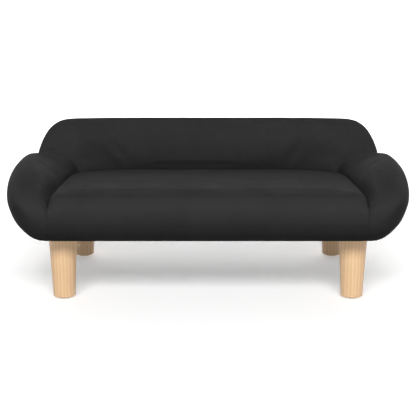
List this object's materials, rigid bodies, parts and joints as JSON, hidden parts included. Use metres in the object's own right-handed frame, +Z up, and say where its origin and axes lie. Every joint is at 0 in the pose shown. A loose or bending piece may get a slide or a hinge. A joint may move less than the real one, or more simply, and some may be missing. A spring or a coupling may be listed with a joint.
{
  "type": "dog bed with frame",
  "caption": "Small sofa-shaped dog bed: padded seat, low curved back and rolled arms in dark short-pile fabric, on turned tapered wooden legs that screw off.",
  "frame": {"origin": "on the floor under the middle of the bed", "axes": "+X along the bed to the right as seen from its open front, +Y from the open front to the back, +Z up"},
  "size_m": [0.7, 0.45, 0.2702],
  "materials": {
    "cover_fabric": "short-pile velvet",
    "foam": "open-cell foam",
    "dust_cloth": "matt non-woven cloth",
    "softwood": "planed",
    "plywood": "sanded",
    "leg_wood": "clear satin lacquer",
    "fastener_steel": "zinc plated",
    "glide_plastic": "matt"
  },
  "bodies": {
    "bed": {"front_rail": "softwood", "rear_rail": "softwood", "left_rail": "softwood", "right_rail": "softwood", "centre_rail": "softwood", "seat_deck": "plywood", "back_panel": "plywood", "back_post_left": "softwood", "back_post_right": "softwood", "arm_panel_left": "plywood", "arm_panel_right": "plywood", "arm_batten_left": "softwood", "arm_batten_right": "softwood", "seat_foam": "foam", "back_foam": "foam", "arm_foam_left": "foam", "arm_foam_right": "foam", "seat_cover": "cover_fabric", "back_cover": "cover_fabric", "arm_cover_left": "cover_fabric", "arm_cover_right": "cover_fabric", "frame_screws": "fastener_steel", "deck_screws": "fastener_steel", "back_screws": "fastener_steel", "arm_screws": "fastener_steel", "dust_cover": "dust_cloth", "dust_cover_staples": "fastener_steel", "corner_block_front_left": "softwood", "tee_nut_front_left": "fastener_steel", "corner_block_front_right": "softwood", "tee_nut_front_right": "fastener_steel", "corner_block_rear_left": "softwood", "tee_nut_rear_left": "fastener_steel", "corner_block_rear_right": "softwood", "tee_nut_rear_right": "fastener_steel"},
    "front_left_bolt": {"hanger_bolt_front_left": "fastener_steel"},
    "front_left_leg": {"leg_front_left": "leg_wood", "glide_front_left": "glide_plastic"},
    "front_right_bolt": {"hanger_bolt_front_right": "fastener_steel"},
    "front_right_leg": {"leg_front_right": "leg_wood", "glide_front_right": "glide_plastic"},
    "rear_left_bolt": {"hanger_bolt_rear_left": "fastener_steel"},
    "rear_left_leg": {"leg_rear_left": "leg_wood", "glide_rear_left": "glide_plastic"},
    "rear_right_bolt": {"hanger_bolt_rear_right": "fastener_steel"},
    "rear_right_leg": {"leg_rear_right": "leg_wood", "glide_rear_right": "glide_plastic"}
  },
  "joints": [
    {"name": "front_left_leg_travel", "type": "slide", "parent": "bed", "child": "front_left_bolt", "axis": [0, 0, -1], "range_m": [0, 0.0188]},
    {"name": "front_left_leg_turn", "type": "hinge", "parent": "front_left_bolt", "child": "front_left_leg", "pos_m": [-0.243, -0.14, 0.11], "axis": [0, 0, -1], "range_deg": [0, 5400]},
    {"name": "front_right_leg_travel", "type": "slide", "parent": "bed", "child": "front_right_bolt", "axis": [0, 0, -1], "range_m": [0, 0.0188]},
    {"name": "front_right_leg_turn", "type": "hinge", "parent": "front_right_bolt", "child": "front_right_leg", "pos_m": [0.243, -0.14, 0.11], "axis": [0, 0, -1], "range_deg": [0, 5400]},
    {"name": "rear_left_leg_travel", "type": "slide", "parent": "bed", "child": "rear_left_bolt", "axis": [0, 0, -1], "range_m": [0, 0.0188]},
    {"name": "rear_left_leg_turn", "type": "hinge", "parent": "rear_left_bolt", "child": "rear_left_leg", "pos_m": [-0.243, 0.14, 0.11], "axis": [0, 0, -1], "range_deg": [0, 5400]},
    {"name": "rear_right_leg_travel", "type": "slide", "parent": "bed", "child": "rear_right_bolt", "axis": [0, 0, -1], "range_m": [0, 0.0188]},
    {"name": "rear_right_leg_turn", "type": "hinge", "parent": "rear_right_bolt", "child": "rear_right_leg", "pos_m": [0.243, 0.14, 0.11], "axis": [0, 0, -1], "range_deg": [0, 5400]}
  ],
  "couplings": [
    {"joint": "front_left_leg_travel", "follows": "front_left_leg_turn", "m_per_rad": 0.00019894},
    {"joint": "front_right_leg_travel", "follows": "front_right_leg_turn", "m_per_rad": 0.00019894},
    {"joint": "rear_left_leg_travel", "follows": "rear_left_leg_turn", "m_per_rad": 0.00019894},
    {"joint": "rear_right_leg_travel", "follows": "rear_right_leg_turn", "m_per_rad": 0.00019894}
  ]
}
